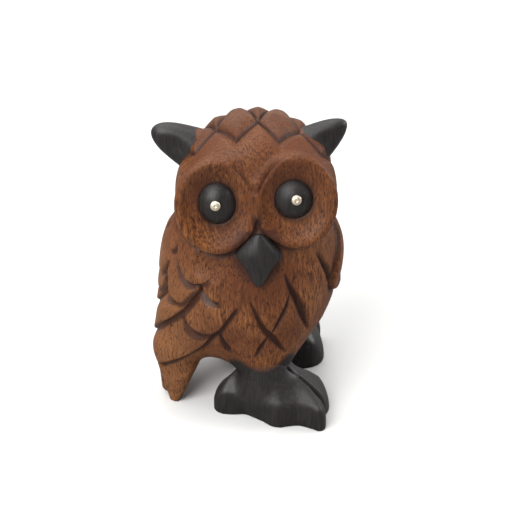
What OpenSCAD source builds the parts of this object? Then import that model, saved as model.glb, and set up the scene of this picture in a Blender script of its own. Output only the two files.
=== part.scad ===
// Carved wooden owl that stands on two big feet and the tip of its tail.
// The body is seen from its right side and faces +X; the head is turned to look along -Y.
// Frame: millimetres, +Z up, floor at Z = 0, origin under the middle of the bounding box.
// "Right" and "left" are the owl's own sides of the face: its right eye is towards -X.

/* [Torso] */
// Half width of the breast and back along X
torso_half_w = 30; // [29:0.5:31]
// Half depth of the torso along Y
torso_half_d = 26; // [25:0.5:27]
// Height of the middle of the torso
torso_z = 47; // [46:0.5:48]
// Half width of the rump, over the root of the tail
rump_half_w = 16.5; // [16:0.5:17.5]
// Half width of the tail at its tip
tail_tip_half_w = 10.5; // [9:0.5:12]

/* [Head] */
// Half width of the skull along X
skull_half_w = 24.6; // [24:0.2:25.4]
// Height of the middle of the skull
skull_z = 79.5; // [78.5:0.5:80.5]
// Backward tilt of the face
face_tilt = 10; // [6:1:13]
// Roll of the face, with the owl's left side up
face_roll = 3.5; // [0:0.5:5]
// Half width of a facial disc
disc_half_w = 13.2; // [12.6:0.2:13.6]
// Half height of a facial disc
disc_half_h = 15.4; // [14.8:0.2:16]

/* [Eyes] */
// Diameter of an eye plug
eye_d = 12.6; // [11.6:0.2:13.4]
// Height of the dome of an eye above the facial disc
eye_dome = 2.6; // [2:0.2:3.2]
// Diameter of the head of a brass eye pin
eye_pin_d = 3.4; // [3:0.2:4]
// Diameter of the shank of a brass eye pin
eye_shank_d = 1.4; // [1.2:0.1:1.8]

/* [Ears] */
// Length of an ear tuft from its seat to its tip
ear_len = 13.5; // [12:0.5:15]
// Diameter of an ear tuft at its seat
ear_base_d = 13; // [12:0.5:13.5]
// Diameter of the tenon that holds an ear tuft
ear_tenon_d = 5; // [4:0.5:6]

/* [Beak] */
// Width of the beak across its side corners
beak_w = 13.8; // [12.5:0.2:14.5]
// Diameter of the peg that holds the beak
beak_peg_d = 3; // [2.5:0.5:4]

/* [Legs] */
// Height of the glue joint between a leg and its foot
ankle_z = 16; // [15.5:0.5:16.5]
// Diameter of the dowel through the ankle
leg_dowel_d = 5; // [4:0.5:6]
// Length of a foot from heel to toe tips
foot_len = 37; // [36:0.5:38]
// Turn of the right foot away from the body's own heading
right_foot_turn = -13; // [-18:1:-8]
// Turn of the left foot
left_foot_turn = 13; // [8:1:18]

/* [Hidden] */
$fn = 64;

wood_brown = [0.42, 0.24, 0.15];
stain_black = [0.14, 0.13, 0.13];
brass_yellow = [0.88, 0.76, 0.50];
dowel_pale = [0.72, 0.56, 0.38];

// The carving was laid out about the middle of its breast; this moves it to the origin.
origin_shift = [1.57, -2.25, 0];

// Depth of the sockets and how far a cutter runs past a surface
eye_socket_depth = 5;
cutter_extra = 14;
shank_depth = 6;
ear_tenon_depth = 8;
beak_peg_depth = 7;

// The face has its own frame: X to the owl's left, -Y out of the face, Z up it.
face_centre = [1, -17.5, 80];
disc_front = 3.2;
eye_seats = [[-12.0, 0.3], [11.9, -0.3]];
disc_centres = [[-12.6, -1.2], [12.9, -0.9]];
disc_round = 2.6;
cheek_depth = 13;
disc_blend = 2.4;

// Ear tufts: where each sits and which way it points, as [seat, turn about Z, rise]
right_ear_seat = [-18.6, 3, 88.0];
right_ear_rise = 29;
left_ear_seat = [17.6, 3, 88.4];
left_ear_rise = 33;

// Ankles of the two legs
right_ankle = [3, -14, ankle_z];
left_ankle = [3.5, 18.5, ankle_z];
dowel_up = 10;
dowel_down = 9;
sole_cut = 60;

// Spine of the block: rays leave the hip downwards, the spine sideways and the skull upwards
hip = [-8, 2, 32];
skull_core = [0, 2, 78];
around = 76;
rings_low = 18;
rings_side = 26;
rings_top = 17;

// ---------------------------------------------------------------- distance helpers
// Each gives how far a point lies outside a form, and is negative inside it.

function mix(a, b, t) = a + (b - a) * t;
function clamp01(t) = max(0, min(1, t));
function over(a, b) = [a.x / b.x, a.y / b.y, a.z / b.z];
function blend(a, b, k) = let (h = max(k - abs(a - b), 0) / k) min(a, b) - h * h * k / 4;
function trim(a, b, k) = -blend(-a, -b, k);

function ellipsoid_gap(p, c, r) =
    let (q = p - c, n = norm(over(q, r)), s = norm(over(over(q, r), r)) + 1e-9)
    n * (n - 1) / s;

function limb_gap(p, a, b, ra, rb) =
    let (ab = b - a, t = clamp01(((p - a) * ab) / (ab * ab)))
    norm(p - a - t * ab) - mix(ra, rb, t);

// Tapered board from a to b; half_a and half_b hold its half thickness and half width there
function board_gap(p, a, b, half_a, half_b, wide, rnd) =
    let (
        len = norm(b - a),
        e = (b - a) / len,
        w0 = wide - (wide * e) * e,
        w = w0 / norm(w0),
        n = cross(e, w),
        q = p - a,
        along = q * e,
        t = clamp01(along / len),
        dx = abs(q * n) - mix(half_a[0], half_b[0], t) + rnd,
        dy = abs(q * w) - mix(half_a[1], half_b[1], t) + rnd,
        dz = abs(along - len / 2) - len / 2 + rnd
    )
    norm([max(dx, 0), max(dy, 0), max(dz, 0)]) + min(max(dx, dy, dz), 0) - rnd;

// ---------------------------------------------------------------- the carved form

// A point in the face's own frame
function in_face(p) =
    let (
        q = p - face_centre,
        y = q.y * cos(face_tilt) - q.z * sin(face_tilt),
        z = q.y * sin(face_tilt) + q.z * cos(face_tilt)
    )
    [q.x * cos(face_roll) + z * sin(face_roll), y, z * cos(face_roll) - q.x * sin(face_roll)];

function disc_gap(f, c) =
    let (
        x = f.x - c[0],
        z = f.z - c[1],
        k = norm([x / disc_half_w, z / disc_half_h]) + 1e-9,
        side = (k - 1) * norm([x, z]) / k + disc_round,
        front = abs(f.y) - disc_front + disc_round
    )
    norm([max(side, 0), max(front, 0)]) + min(max(side, front), 0) - disc_round;

// Full cheek behind each disc, so that the discs don't stand free of the skull
function cheek_gap(f, c) =
    ellipsoid_gap(f, [c[0], cheek_depth, c[1]], [disc_half_w + 0.4, cheek_depth + 1, disc_half_h + 0.6]);

function skull_gap(p, f) =
    let (
        dome = trim(ellipsoid_gap(p, [0.8, 3, skull_z], [skull_half_w, 23.5, 20.6]), -f.y - 1, 6),
        cheeks = min(cheek_gap(f, disc_centres[0]), cheek_gap(f, disc_centres[1]))
    )
    blend(dome, cheeks, 5);

function trunk_gap(p) =
    blend(
        ellipsoid_gap(p, [-0.4, 3.5, torso_z], [torso_half_w, torso_half_d, 33.5]),
        ellipsoid_gap(p, [-14, 4, 31], [rump_half_w, 21, 20]),
        8
    );

function thigh_gap(p) =
    min(
        limb_gap(p, [4, -7, 30], right_ankle - [0, 0, 1], 16, 7.6),
        limb_gap(p, [5, 14, 30], left_ankle - [0, 0, 1], 15, 7.6)
    );

function tail_gap(p) =
    board_gap(p, [-22.5, 3, 36], [-26.8, -0.5, 0.2], [8, 15], [3, tail_tip_half_w], [0, 1, 0], 2.6);

function owl_gap(p) =
    let (
        f = in_face(p),
        bare = blend(trunk_gap(p), skull_gap(p, f), 7),
        legged = blend(bare, thigh_gap(p), 9),
        tailed = blend(legged, tail_gap(p), 7),
        discs = min(disc_gap(f, disc_centres[0]), disc_gap(f, disc_centres[1]))
    )
    max(blend(tailed, discs, disc_blend), -p.z);

// One foot in its own frame: X from heel to toes, +Y to the inside, ankle over the origin
function foot_gap(p) =
    let (
        heel = board_gap(p, [-14.5, 1, 5.4], [3, 0.5, 6.5], [6.8, 5.4], [7.8, 6.5], [0, 0, 1], 3.5),
        ankle = limb_gap(p, [1.5, 0.5, 6], [0, 0, 17.5], 11, 7.4),
        toe_x = foot_len - 14.5,
        outer = board_gap(p, [2, -4, 5.2], [toe_x, -4.4, 4.6], [6, 6], [5.2, 5], [0, 0, 1], 2.6),
        inner = board_gap(p, [-1, 5.2, 6.5], [toe_x - 3, 6.8, 5.2], [6, 7], [5.2, 5.6], [0, 0, 1], 4),
        instep = limb_gap(p, [2, 1.5, 11], [13, 4, 8], 6, 5),
        toes = blend(blend(blend(heel, ankle, 3), outer, 3), inner, 1)
    )
    trim(blend(toes, instep, 3), -p.z - 2, 0.6);

// ---------------------------------------------------------------- from form to surface

// Walk along a ray from inside until the form is left; gives [last inside, first outside]
function leave(gap, o, d, last, r) =
    let (g = gap(o + r * d))
    g > 0 ? [last, r] : leave(gap, o, d, r, r + max(0.8, -0.7 * g));

function halve(gap, o, d, a, b, n) =
    n == 0 ? (a + b) / 2 :
    let (m = (a + b) / 2)
    gap(o + m * d) < 0 ? halve(gap, o, d, m, b, n - 1) : halve(gap, o, d, a, m, n - 1);

function skin_point(gap, o, d) =
    let (span = leave(gap, o, d, 0, 1))
    o + d * halve(gap, o, d, span[0], span[1], 11);

function ray(turn, rise) = [cos(turn) * cos(rise), sin(turn) * cos(rise), sin(rise)];

// Faces of a closed skin: rings of points from the bottom up, then the two poles
function skin_faces(rings, n) = concat(
    [for (i = [0 : rings - 2], j = [0 : n - 1]) [i * n + j, (i + 1) * n + j, (i + 1) * n + (j + 1) % n]],
    [for (i = [0 : rings - 2], j = [0 : n - 1]) [i * n + j, (i + 1) * n + (j + 1) % n, i * n + (j + 1) % n]],
    [for (j = [0 : n - 1]) [rings * n, j, (j + 1) % n]],
    [for (j = [0 : n - 1]) [rings * n + 1, (rings - 1) * n + (j + 1) % n, (rings - 1) * n + j]]
);

// Rings as [origin, rise]: under the hip, up the spine, then over the skull
owl_rings = concat(
    [for (i = [1 : rings_low - 1]) [hip, -90 + 90 * i / rings_low]],
    [for (i = [0 : rings_side - 1]) [mix(hip, skull_core, i / (rings_side - 1)), 0]],
    [for (i = [1 : rings_top - 1]) [skull_core, 90 * i / rings_top]]
);

module owl_skin() {
    rings = len(owl_rings);
    points = concat(
        [for (r = owl_rings, j = [0 : around - 1]) skin_point(owl_form, r[0], ray(360 * j / around, r[1]))],
        [skin_point(owl_form, hip, [0, 0, -1]), skin_point(owl_form, skull_core, [0, 0, 1])]
    );
    polyhedron(points, skin_faces(rings, around), convexity = 8);
}

foot_core = [3, 1, 5];
foot_around = 36;
foot_rings = 22;

module foot_skin() {
    points = concat(
        [for (i = [1 : foot_rings], j = [0 : foot_around - 1])
            skin_point(foot_form, foot_core, ray(360 * j / foot_around, -90 + 180 * i / (foot_rings + 1)))],
        [skin_point(foot_form, foot_core, [0, 0, -1]), skin_point(foot_form, foot_core, [0, 0, 1])]
    );
    polyhedron(points, skin_faces(foot_rings, foot_around), convexity = 6);
}

owl_form = function (p) owl_gap(p);
foot_form = function (p) foot_gap(p);

// ---------------------------------------------------------------- places

module on_floor() {
    translate(origin_shift) children();
}

// Puts children on the face, Z out of it, at x along and z up from its middle
module on_face(at, out = 0) {
    translate(face_centre)
        rotate([-face_tilt, 0, 0])
            rotate([0, -face_roll, 0])
                translate([at[0], -out, at[1]])
                    rotate([90, 0, 0])
                        children();
}

module at_right_ear() {
    translate(right_ear_seat) rotate([0, -90 + right_ear_rise, 0]) children();
}

module at_left_ear() {
    translate(left_ear_seat) rotate([0, 90 - left_ear_rise, 0]) children();
}

// ---------------------------------------------------------------- pieces

module eye_socket(at) {
    on_face(at, disc_front - eye_socket_depth) cylinder(d = eye_d, h = cutter_extra);
    on_face(at, disc_front - eye_socket_depth - shank_depth) cylinder(d = eye_shank_d, h = shank_depth + 1);
}

module ear_socket() {
    cylinder(d = ear_base_d + 0.2, h = cutter_extra);
    translate([0, 0, -ear_tenon_depth]) cylinder(d = ear_tenon_d, h = ear_tenon_depth + 1);
}

module leg_seat(ankle) {
    translate(ankle - [0, 0, cutter_extra]) cylinder(r = 12, h = cutter_extra);
    translate(ankle - [0, 0, 1]) cylinder(d = leg_dowel_d, h = dowel_up + 1);
}

beak_at = [0.6, -16.2];
beak_seat = 0.6;
beak_up = 8.4;
beak_down = 11.2;

// Diamond of the beak: hollow upper sides, straight lower sides
module beak_outline(grow = 0) {
    half = beak_w / 2 + grow;
    polygon([
        [0, beak_up + grow],
        [-half * 0.34, beak_up * 0.52 + grow],
        [-half, grow / 2],
        [-half * 0.42, -beak_down * 0.5 - grow],
        [0, -beak_down - grow],
        [half * 0.42, -beak_down * 0.5 - grow],
        [half, grow / 2],
        [half * 0.34, beak_up * 0.52 + grow]
    ]);
}

module carved_block() {
    color(wood_brown) on_floor() difference() {
        owl_skin();
        for (at = eye_seats) eye_socket(at);
        at_right_ear() ear_socket();
        at_left_ear() ear_socket();
        leg_seat(right_ankle);
        leg_seat(left_ankle);
        on_face(beak_at, beak_seat) linear_extrude(cutter_extra) beak_outline(0.1);
        on_face(beak_at, beak_seat - beak_peg_depth) cylinder(d = beak_peg_d, h = beak_peg_depth + 1);
    }
}

// Rounded cone with a round tip and a tenon below its seat
module ear_tuft() {
    tip_r = 2.6;
    flare = 1.6;
    rotate_extrude() {
        polygon(concat(
            [[0, 0], [ear_base_d / 2, 0]],
            [for (i = [0 : 6]) let (t = i / 6)
                [mix(ear_base_d / 2, tip_r, t) + flare * 0.3 * sin(180 * t), t * (ear_len - tip_r)]],
            [for (a = [15 : 15 : 90]) [tip_r * cos(a), ear_len - tip_r + tip_r * sin(a)]]
        ));
    }
    translate([0, 0, -ear_tenon_depth + 0.5]) cylinder(d = ear_tenon_d, h = ear_tenon_depth);
}

module right_ear_tuft() {
    color(stain_black) on_floor() at_right_ear() ear_tuft();
}

module left_ear_tuft() {
    color(stain_black) on_floor() at_left_ear() ear_tuft();
}

// Round plug with a domed front, bored for the shank of its pin
module eye_plug() {
    r = eye_d / 2;
    bore_r = eye_shank_d / 2;
    dome_r = (r * r + eye_dome * eye_dome) / (2 * eye_dome);
    dome_z = eye_socket_depth + eye_dome - dome_r;
    rim_angle = asin(r / dome_r);
    bore_angle = asin(bore_r / dome_r);
    steps = 10;
    rotate_extrude() polygon(concat(
        [[bore_r, 0], [r, 0]],
        [for (i = [0 : steps]) let (a = mix(rim_angle, bore_angle, i / steps))
            [dome_r * sin(a), dome_z + dome_r * cos(a)]]
    ));
}

module right_eye() {
    color(stain_black) on_floor() on_face(eye_seats[0], disc_front - eye_socket_depth) eye_plug();
}

module left_eye() {
    color(stain_black) on_floor() on_face(eye_seats[1], disc_front - eye_socket_depth) eye_plug();
}

// Brass nail: a low domed head over a straight shank
module eye_pin() {
    head_r = eye_pin_d / 2;
    head_rise = 0.8;
    round_r = (head_r * head_r + head_rise * head_rise) / (2 * head_rise);
    top = eye_socket_depth + eye_dome;
    translate([0, 0, -shank_depth + 0.5]) cylinder(d = eye_shank_d, h = shank_depth + top);
    intersection() {
        translate([0, 0, top + 0.1 + head_rise - round_r]) sphere(r = round_r, $fn = 96);
        translate([0, 0, top + 0.1]) cylinder(r = head_r, h = head_rise + 1);
    }
}

module right_eye_pin() {
    color(brass_yellow) on_floor() on_face(eye_seats[0], disc_front - eye_socket_depth) eye_pin();
}

module left_eye_pin() {
    color(brass_yellow) on_floor() on_face(eye_seats[1], disc_front - eye_socket_depth) eye_pin();
}

// Diamond with four flat facets that meet at a ridge point, and a round peg behind
module beak() {
    ridge = 5.2;
    slab = 2;
    color(stain_black) on_floor() on_face(beak_at, beak_seat) {
        linear_extrude(slab) beak_outline();
        hull() {
            translate([0, 0, slab]) linear_extrude(0.01) beak_outline();
            translate([0, -2.5, ridge]) sphere(r = 0.8, $fn = 32);
            translate([0, -beak_down + 1.6, ridge - 1.4]) sphere(r = 0.6, $fn = 32);
        }
        translate([0, 0, -beak_peg_depth + 0.3]) cylinder(d = beak_peg_d, h = beak_peg_depth);
    }
}

module foot_at(ankle, turn, side) {
    translate([ankle.x, ankle.y, 0]) difference() {
        rotate([0, 0, turn]) scale([1, side, 1]) foot_skin();
        translate([-sole_cut / 2, -sole_cut / 2, -sole_cut]) cube(sole_cut);
        translate([-sole_cut / 2, -sole_cut / 2, ankle_z]) cube(sole_cut);
        translate([0, 0, ankle_z - dowel_down]) cylinder(d = leg_dowel_d, h = dowel_down + 1);
    }
}

module right_foot() {
    color(stain_black) on_floor() foot_at(right_ankle, right_foot_turn, 1);
}

module left_foot() {
    color(stain_black) on_floor() foot_at(left_ankle, left_foot_turn, -1);
}

module leg_dowel(ankle) {
    end_gap = 0.5;
    translate(ankle - [0, 0, dowel_down - end_gap])
        cylinder(d = leg_dowel_d, h = dowel_up + dowel_down - 2 * end_gap);
}

module right_leg_dowel() {
    color(dowel_pale) on_floor() leg_dowel(right_ankle);
}

module left_leg_dowel() {
    color(dowel_pale) on_floor() leg_dowel(left_ankle);
}

carved_block();
right_ear_tuft();
left_ear_tuft();
right_eye();
left_eye();
right_eye_pin();
left_eye_pin();
beak();
right_foot();
left_foot();
right_leg_dowel();
left_leg_dowel();
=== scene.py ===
"""Carved wooden owl: a hardwood block with relief feathers, black stained ear tufts, eyes, beak
and feet, and a brass nail in each eye. Lengths in this script are millimetres until a mesh is made."""
import math
import bpy
import numpy as np
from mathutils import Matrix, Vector


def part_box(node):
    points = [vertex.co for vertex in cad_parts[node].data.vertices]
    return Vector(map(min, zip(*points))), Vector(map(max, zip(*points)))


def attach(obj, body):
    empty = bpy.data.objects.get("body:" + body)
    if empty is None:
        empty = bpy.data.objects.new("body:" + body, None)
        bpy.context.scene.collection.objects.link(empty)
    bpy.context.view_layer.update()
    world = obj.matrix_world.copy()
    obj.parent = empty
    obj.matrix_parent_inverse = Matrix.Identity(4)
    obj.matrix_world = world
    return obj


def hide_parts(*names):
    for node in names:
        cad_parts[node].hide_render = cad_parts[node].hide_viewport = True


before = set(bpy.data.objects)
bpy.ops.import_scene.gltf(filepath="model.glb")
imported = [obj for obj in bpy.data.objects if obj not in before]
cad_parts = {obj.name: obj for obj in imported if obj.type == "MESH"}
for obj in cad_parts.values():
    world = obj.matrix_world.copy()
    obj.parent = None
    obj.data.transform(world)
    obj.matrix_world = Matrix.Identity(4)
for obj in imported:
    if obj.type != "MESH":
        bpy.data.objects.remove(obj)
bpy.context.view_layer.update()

MM = 0.001

# ------------------------------------------------------------------ layout, shared with the CAD part

RIGHT_ANKLE = np.array([3.0, -14.0, 16.0])
LEFT_ANKLE = np.array([3.5, 18.5, 16.0])
LEFT_FOOT_SHIFT = [-0.8, 1.6, 0]
LEFT_FOOT_TALL = 1.18
RIGHT_FOOT_TURN = 0
LEFT_FOOT_TURN = -4
FACE_TILT = 10
FACE_ROLL = 3.5
FACE_CENTRE = np.array([1.0, -17.5, 80.0])
DISC_FRONT = 3.2
DISC_HALF = (13.0, 15.4)
DISC_CENTRES = ((-12.6, -1.2), (12.4, -0.9))
EYE_SEATS = ((-12.1, -0.4), (11.7, -0.5))
EYE_HALF = ((6.0, 6.8), (6.2, 6.3))
PIN_SEATS = ((-12.65, -0.2), (12.45, 0.1))
BEAK_AT = (-0.3, -17.2)
BODY_AXIS = (-0.4, 3.5)
HIP = np.array([-8.0, 2.0, 32.0])
SKULL_CORE = np.array([0.0, 2.0, 78.0])
SKULL_CENTRE = np.array([0.8, 3.0, 79.5])


def middle(node):
    """Middle of a CAD node's box, in millimetres."""
    low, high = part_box(node)
    return np.array([(a + b) / 2 / MM for a, b in zip(low, high)])


# The carving is laid out about the middle of its breast; the leg dowel shows where that lies in the frame.
STAND = middle("right_leg_dowel") - RIGHT_ANKLE
STAND[2] = 0.0


def turn_about(axis, degrees):
    """3 x 3 matrix that turns by degrees about x, y or z."""
    c, s = math.cos(math.radians(degrees)), math.sin(math.radians(degrees))
    rows = {
        "x": [[1, 0, 0], [0, c, -s], [0, s, c]],
        "y": [[c, 0, s], [0, 1, 0], [-s, 0, c]],
        "z": [[c, -s, 0], [s, c, 0], [0, 0, 1]],
    }
    return np.array(rows[axis], float)


FACE_TURN = turn_about("x", -FACE_TILT) @ turn_about("y", -FACE_ROLL)


def in_face(p):
    """Points in the face's own frame: X to the owl's left, -Y out of the face, Z up it."""
    return (p - FACE_CENTRE) @ FACE_TURN


def from_face(q):
    """The way back from the face's own frame."""
    return np.asarray(q, float) @ FACE_TURN.T + FACE_CENTRE


# ------------------------------------------------------------------ distance forms
# Each gives how far points lie outside a form, and is negative inside it.


def smooth_step(t):
    """0 below 0, 1 above 1 and a smooth rise between."""
    t = np.clip(t, 0, 1)
    return t * t * (3 - 2 * t)


def blend(a, b, k):
    """Smooth minimum: the two forms melt together over a width k."""
    h = np.maximum(k - np.abs(a - b), 0) / k
    return np.minimum(a, b) - h * h * k / 4


def trim(a, b, k):
    """Smooth maximum: the second form cuts the first, with its edge rounded over k."""
    return -blend(-a, -b, k)


def ellipsoid_gap(p, centre, radii):
    """Scaled distance n (n - 1) / s, where n is the length over the radii and s that of its gradient."""
    q = p - np.array(centre, float)
    r = np.array(radii, float)
    n = np.linalg.norm(q / r, axis=-1)
    s = np.linalg.norm(q / r**2, axis=-1) + 1e-9
    return n * (n - 1) / s


def limb_gap(p, a, b, ra, rb):
    """Distance to the line from a to b, less a radius that goes from ra to rb along it."""
    a, b = np.array(a, float), np.array(b, float)
    ab = b - a
    t = np.clip((p - a) @ ab / (ab @ ab), 0, 1)
    return np.linalg.norm(p - a - t[..., None] * ab, axis=-1) - (ra + (rb - ra) * t)


def board_gap(p, a, b, half_a, half_b, wide, rnd):
    """Rounded box along a to b whose half thickness and half width go from half_a to half_b."""
    a, b = np.array(a, float), np.array(b, float)
    length = np.linalg.norm(b - a)
    e = (b - a) / length
    w = np.array(wide, float) - (np.array(wide, float) @ e) * e
    w /= np.linalg.norm(w)
    n = np.cross(e, w)
    q = p - a
    along = q @ e
    t = np.clip(along / length, 0, 1)
    d = np.stack(
        [
            np.abs(q @ n) - (half_a[0] + (half_b[0] - half_a[0]) * t) + rnd,
            np.abs(q @ w) - (half_a[1] + (half_b[1] - half_a[1]) * t) + rnd,
            np.abs(along - length / 2) - length / 2 + rnd,
        ],
        -1,
    )
    return np.linalg.norm(np.maximum(d, 0), axis=-1) + np.minimum(d.max(-1), 0) - rnd


def disc_gap(f, centre, rnd=2.2):
    """Rounded oval plate on the face: its side distance and its depth joined by a rounded corner."""
    x, z = f[..., 0] - centre[0], f[..., 2] - centre[1]
    k = np.hypot(x / DISC_HALF[0], z / DISC_HALF[1]) + 1e-9
    side = (k - 1) * np.hypot(x, z) / k + rnd
    front = np.abs(f[..., 1]) - DISC_FRONT + rnd
    return np.hypot(np.maximum(side, 0), np.maximum(front, 0)) + np.minimum(np.maximum(side, front), 0) - rnd


# The skull's half width and half height, and its length and squareness ahead of its middle and behind it
SKULL_HALF = (23.8, 20.6)
SKULL_LONG = (29.0, 23.5)
SKULL_POWER = (2.6, 2.0)
SHORT_OF_TRUE = 0.93  # keeps the skull's distance from reading too long


def skull_gap(p):
    """Egg whose cross-section is an ellipse; its front is longer and squarer than its back."""
    q = p - SKULL_CENTRE
    ring = np.hypot(q[..., 0] / SKULL_HALF[0], q[..., 2] / SKULL_HALF[1])
    ahead = q[..., 1] < 0
    long = np.abs(q[..., 1]) / np.where(ahead, *SKULL_LONG)
    power = np.where(ahead, *SKULL_POWER)
    size = (ring**power + long**power) ** (1 / power) + 1e-9
    return np.linalg.norm(q, axis=-1) * (1 - 1 / size) * SHORT_OF_TRUE


# Ellipsoids as (middle, half sizes), limbs as (start, end, start radius, end radius)
TRUNK = ((-1.0, 3.5, 47), (29.4, 26, 33.5))
RUMP = ((-14, 4, 32.5), (15.7, 20, 18.5))
CHEEK_HALF = (13.2, 14, 16)
CHEEK_DEPTH = 13
CHEEK_SPREAD = 0.97
FACE_CUT = 2  # how far in front of the face's middle plane the skull ends
THIGHS = (
    ((3, -7, 31), RIGHT_ANKLE + [0.5, 0, -1], 15.5, 8),
    ((1.5, 12, 31), LEFT_ANKLE - [0.5, 0, 1], 14, 7.4),
)
TAIL_BOARD = ((-23, 4, 36), (-29.2, 0.8, 0.2), (7, 15), (2.2, 7.0), (0, 1, 0), 2.1)
TAIL_FEATHER = (
    ((-22.8, -2.5, 31), (-25.2, -6.2, 6), 8.4, 5.0),
    ((-25.2, -6.2, 6), (-26.2, -8.2, -2), 5.0, 2.0),
)
NOSE_RIDGE = (
    ((0.3, 0.1, -11), (0.3, -0.3, 5), 2.9, 2.9),
    ((0.3, -0.2, 5), (0.7, 1.2, 9), 2.9, 2.6),
)


def nearest_limb(p, limbs):
    """Sharp union of two limbs."""
    return np.minimum(*[limb_gap(p, *limb) for limb in limbs])


def owl_gap(p):
    """Trunk, rump, skull, cheeks, thighs, tail and facial discs melted into one carved block."""
    f = in_face(p)
    trunk = blend(ellipsoid_gap(p, *TRUNK), ellipsoid_gap(p, *RUMP), 8)
    skull = trim(skull_gap(p), -f[..., 1] - FACE_CUT, 6)
    middles = [(x * CHEEK_SPREAD, CHEEK_DEPTH, z) for x, z in DISC_CENTRES]
    cheeks = np.minimum(*[ellipsoid_gap(f, c, CHEEK_HALF) for c in middles])
    d = blend(trunk, blend(skull, cheeks, 5), 7)
    d = blend(d, nearest_limb(p, THIGHS), 8)
    tail = blend(board_gap(p, *TAIL_BOARD), nearest_limb(p, TAIL_FEATHER), 0.8)
    d = blend(d, tail, 5)
    discs = np.minimum(*[disc_gap(f, c) for c in DISC_CENTRES])
    return blend(d, blend(discs, nearest_limb(f, NOSE_RIDGE), 2.4), 1.6)


# Plan of the right foot about its ankle, anticlockwise from the heel: a long flat outer side with a
# waist, the claw of the outer toe, the notch between the toes, and the rounded inner side
FOOT_PLAN = np.array(
    [
        (-16.2, 0.2), (-15.6, -2.2), (-13.4, -3.9), (-9.0, -4.4), (-5.6, -4.1), (-2.6, -5.6), (0.6, -8.8),
        (3.0, -11.2), (6.0, -12.0), (9.0, -11.3), (12.4, -11.0), (16.0, -12.6), (18.8, -14.2), (21.0, -12.6),
        (21.0, -9.0), (20.2, -7.0), (21.4, -5.0), (22.8, -0.6), (22.0, 4.6), (18.4, 8.0), (11.0, 9.4),
        (3.0, 9.0), (-5.0, 8.0), (-12.0, 5.4), (-15.0, 2.6),
    ]
)
FOOT_WALL = 8.2
# Height of the foot's crest along its length
FOOT_CREST = (
    (-16, 7), (-13, 11.5), (-9, 16.5), (-4, 19.5), (6, 19), (10, 17), (15.6, 13.2), (19.4, 9.8),
    (22.5, 5), (24, 2),
)
CREST_LEAN = 0.8  # cosine of the crest's usual slant
TOP_SLOPE = 1.15
TOP_LEAN = 0.66  # cosine of the top's slant
LEG_STUMP = ((1.5, 1.0, 8), (0.8, 0.3, 19), 10.5, 8.0)


def plan_gap(p, corners):
    """Distance to a closed outline in the plane, negative inside, by the crossing rule."""
    best = np.full(p.shape[:-1], 1e9)
    inside = np.zeros(p.shape[:-1], bool)
    for a, b in zip(corners, np.roll(corners, -1, 0)):
        ab = b - a
        q = p - a
        t = np.clip(q @ ab / (ab @ ab), 0, 1)
        best = np.minimum(best, np.linalg.norm(q - t[..., None] * ab, axis=-1))
        crosses = (a[1] > p[..., 1]) != (b[1] > p[..., 1])
        at = a[0] + (p[..., 1] - a[1]) * ab[0] / (ab[1] + 1e-12)
        inside ^= crosses & (p[..., 0] < at)
    return np.where(inside, -best, best)


def foot_gap(p):
    """The plan raised straight up to a wall height, then sloping in to a crest line that falls from
    the ankle to the toes, with a leg stump above and cut flat at the floor."""
    side = plan_gap(p[..., :2], FOOT_OUTLINE)
    xs, zs = np.array(FOOT_CREST, float).T
    crest = (p[..., 2] - np.interp(p[..., 0], xs, zs)) * CREST_LEAN
    top = (p[..., 2] - FOOT_WALL + TOP_SLOPE * side) * TOP_LEAN
    d = trim(trim(side, top, 1.0), crest, 3.0)
    d = blend(d, limb_gap(p, *LEG_STUMP), 3)
    return trim(d, -p[..., 2], 0.6)


# ------------------------------------------------------------------ from form to surface


HALVINGS = 12


def cast(gap, origin, way, reach=58.0, step=1.1):
    """Points where rays leave a form: walk outwards to the first change of sign, then halve the span."""
    last = np.zeros(origin.shape[:-1])
    first = np.full(origin.shape[:-1], np.nan)
    done = np.zeros(origin.shape[:-1], bool)
    for r in np.arange(1.0, reach, step):
        out = (gap(origin + r * way) > 0) & ~done
        first[out] = r
        done |= out
        last[~done] = r
        if done.all():
            break
    first = np.where(np.isnan(first), reach, first)
    for _ in range(HALVINGS):
        mid = (last + first) / 2
        inside = gap(origin + mid[..., None] * way) < 0
        last, first = np.where(inside, mid, last), np.where(inside, first, mid)
    return origin + last[..., None] * way


def slope(gap, p, h=0.35):
    """Unit normals of a form at p, from central differences a little way apart."""
    g = np.stack([gap(p + h * e) - gap(p - h * e) for e in np.eye(3)], -1)
    return g / (np.linalg.norm(g, axis=-1, keepdims=True) + 1e-9)


def rays(turn, rise):
    """Unit directions at an angle about Z and a rise above level, both in radians."""
    return np.stack([np.cos(turn) * np.cos(rise), np.sin(turn) * np.cos(rise), np.sin(rise) + 0 * turn], -1)


# ------------------------------------------------------------------ relief carving


def on_body(angle, z):
    """Points of the block at an angle about the body's axis (0 looks along -Y, 90 along +X) and a height."""
    a = np.radians(angle)
    origin = np.stack([np.full_like(a, BODY_AXIS[0]), np.full_like(a, BODY_AXIS[1]), z], -1)
    return cast(owl_gap, origin, np.stack([np.sin(a), -np.cos(a), 0 * a], -1))


def curve_through(points, parts=6):
    """Catmull-Rom curve: each span is a cubic whose slopes come from its neighbours."""
    p = np.array(points, float)
    p = np.vstack([2 * p[0] - p[1], p, 2 * p[-1] - p[-2]])
    t = np.linspace(0, 1, parts, endpoint=False)[:, None]
    spans = [
        0.5 * (2 * b + (c - a) * t + (2 * a - 5 * b + 4 * c - d) * t**2 + (3 * b - a - 3 * c + d) * t**3)
        for a, b, c, d in zip(p[:-3], p[1:-2], p[2:-1], p[3:])
    ]
    return np.vstack(spans + [p[-2:-1]])


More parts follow.
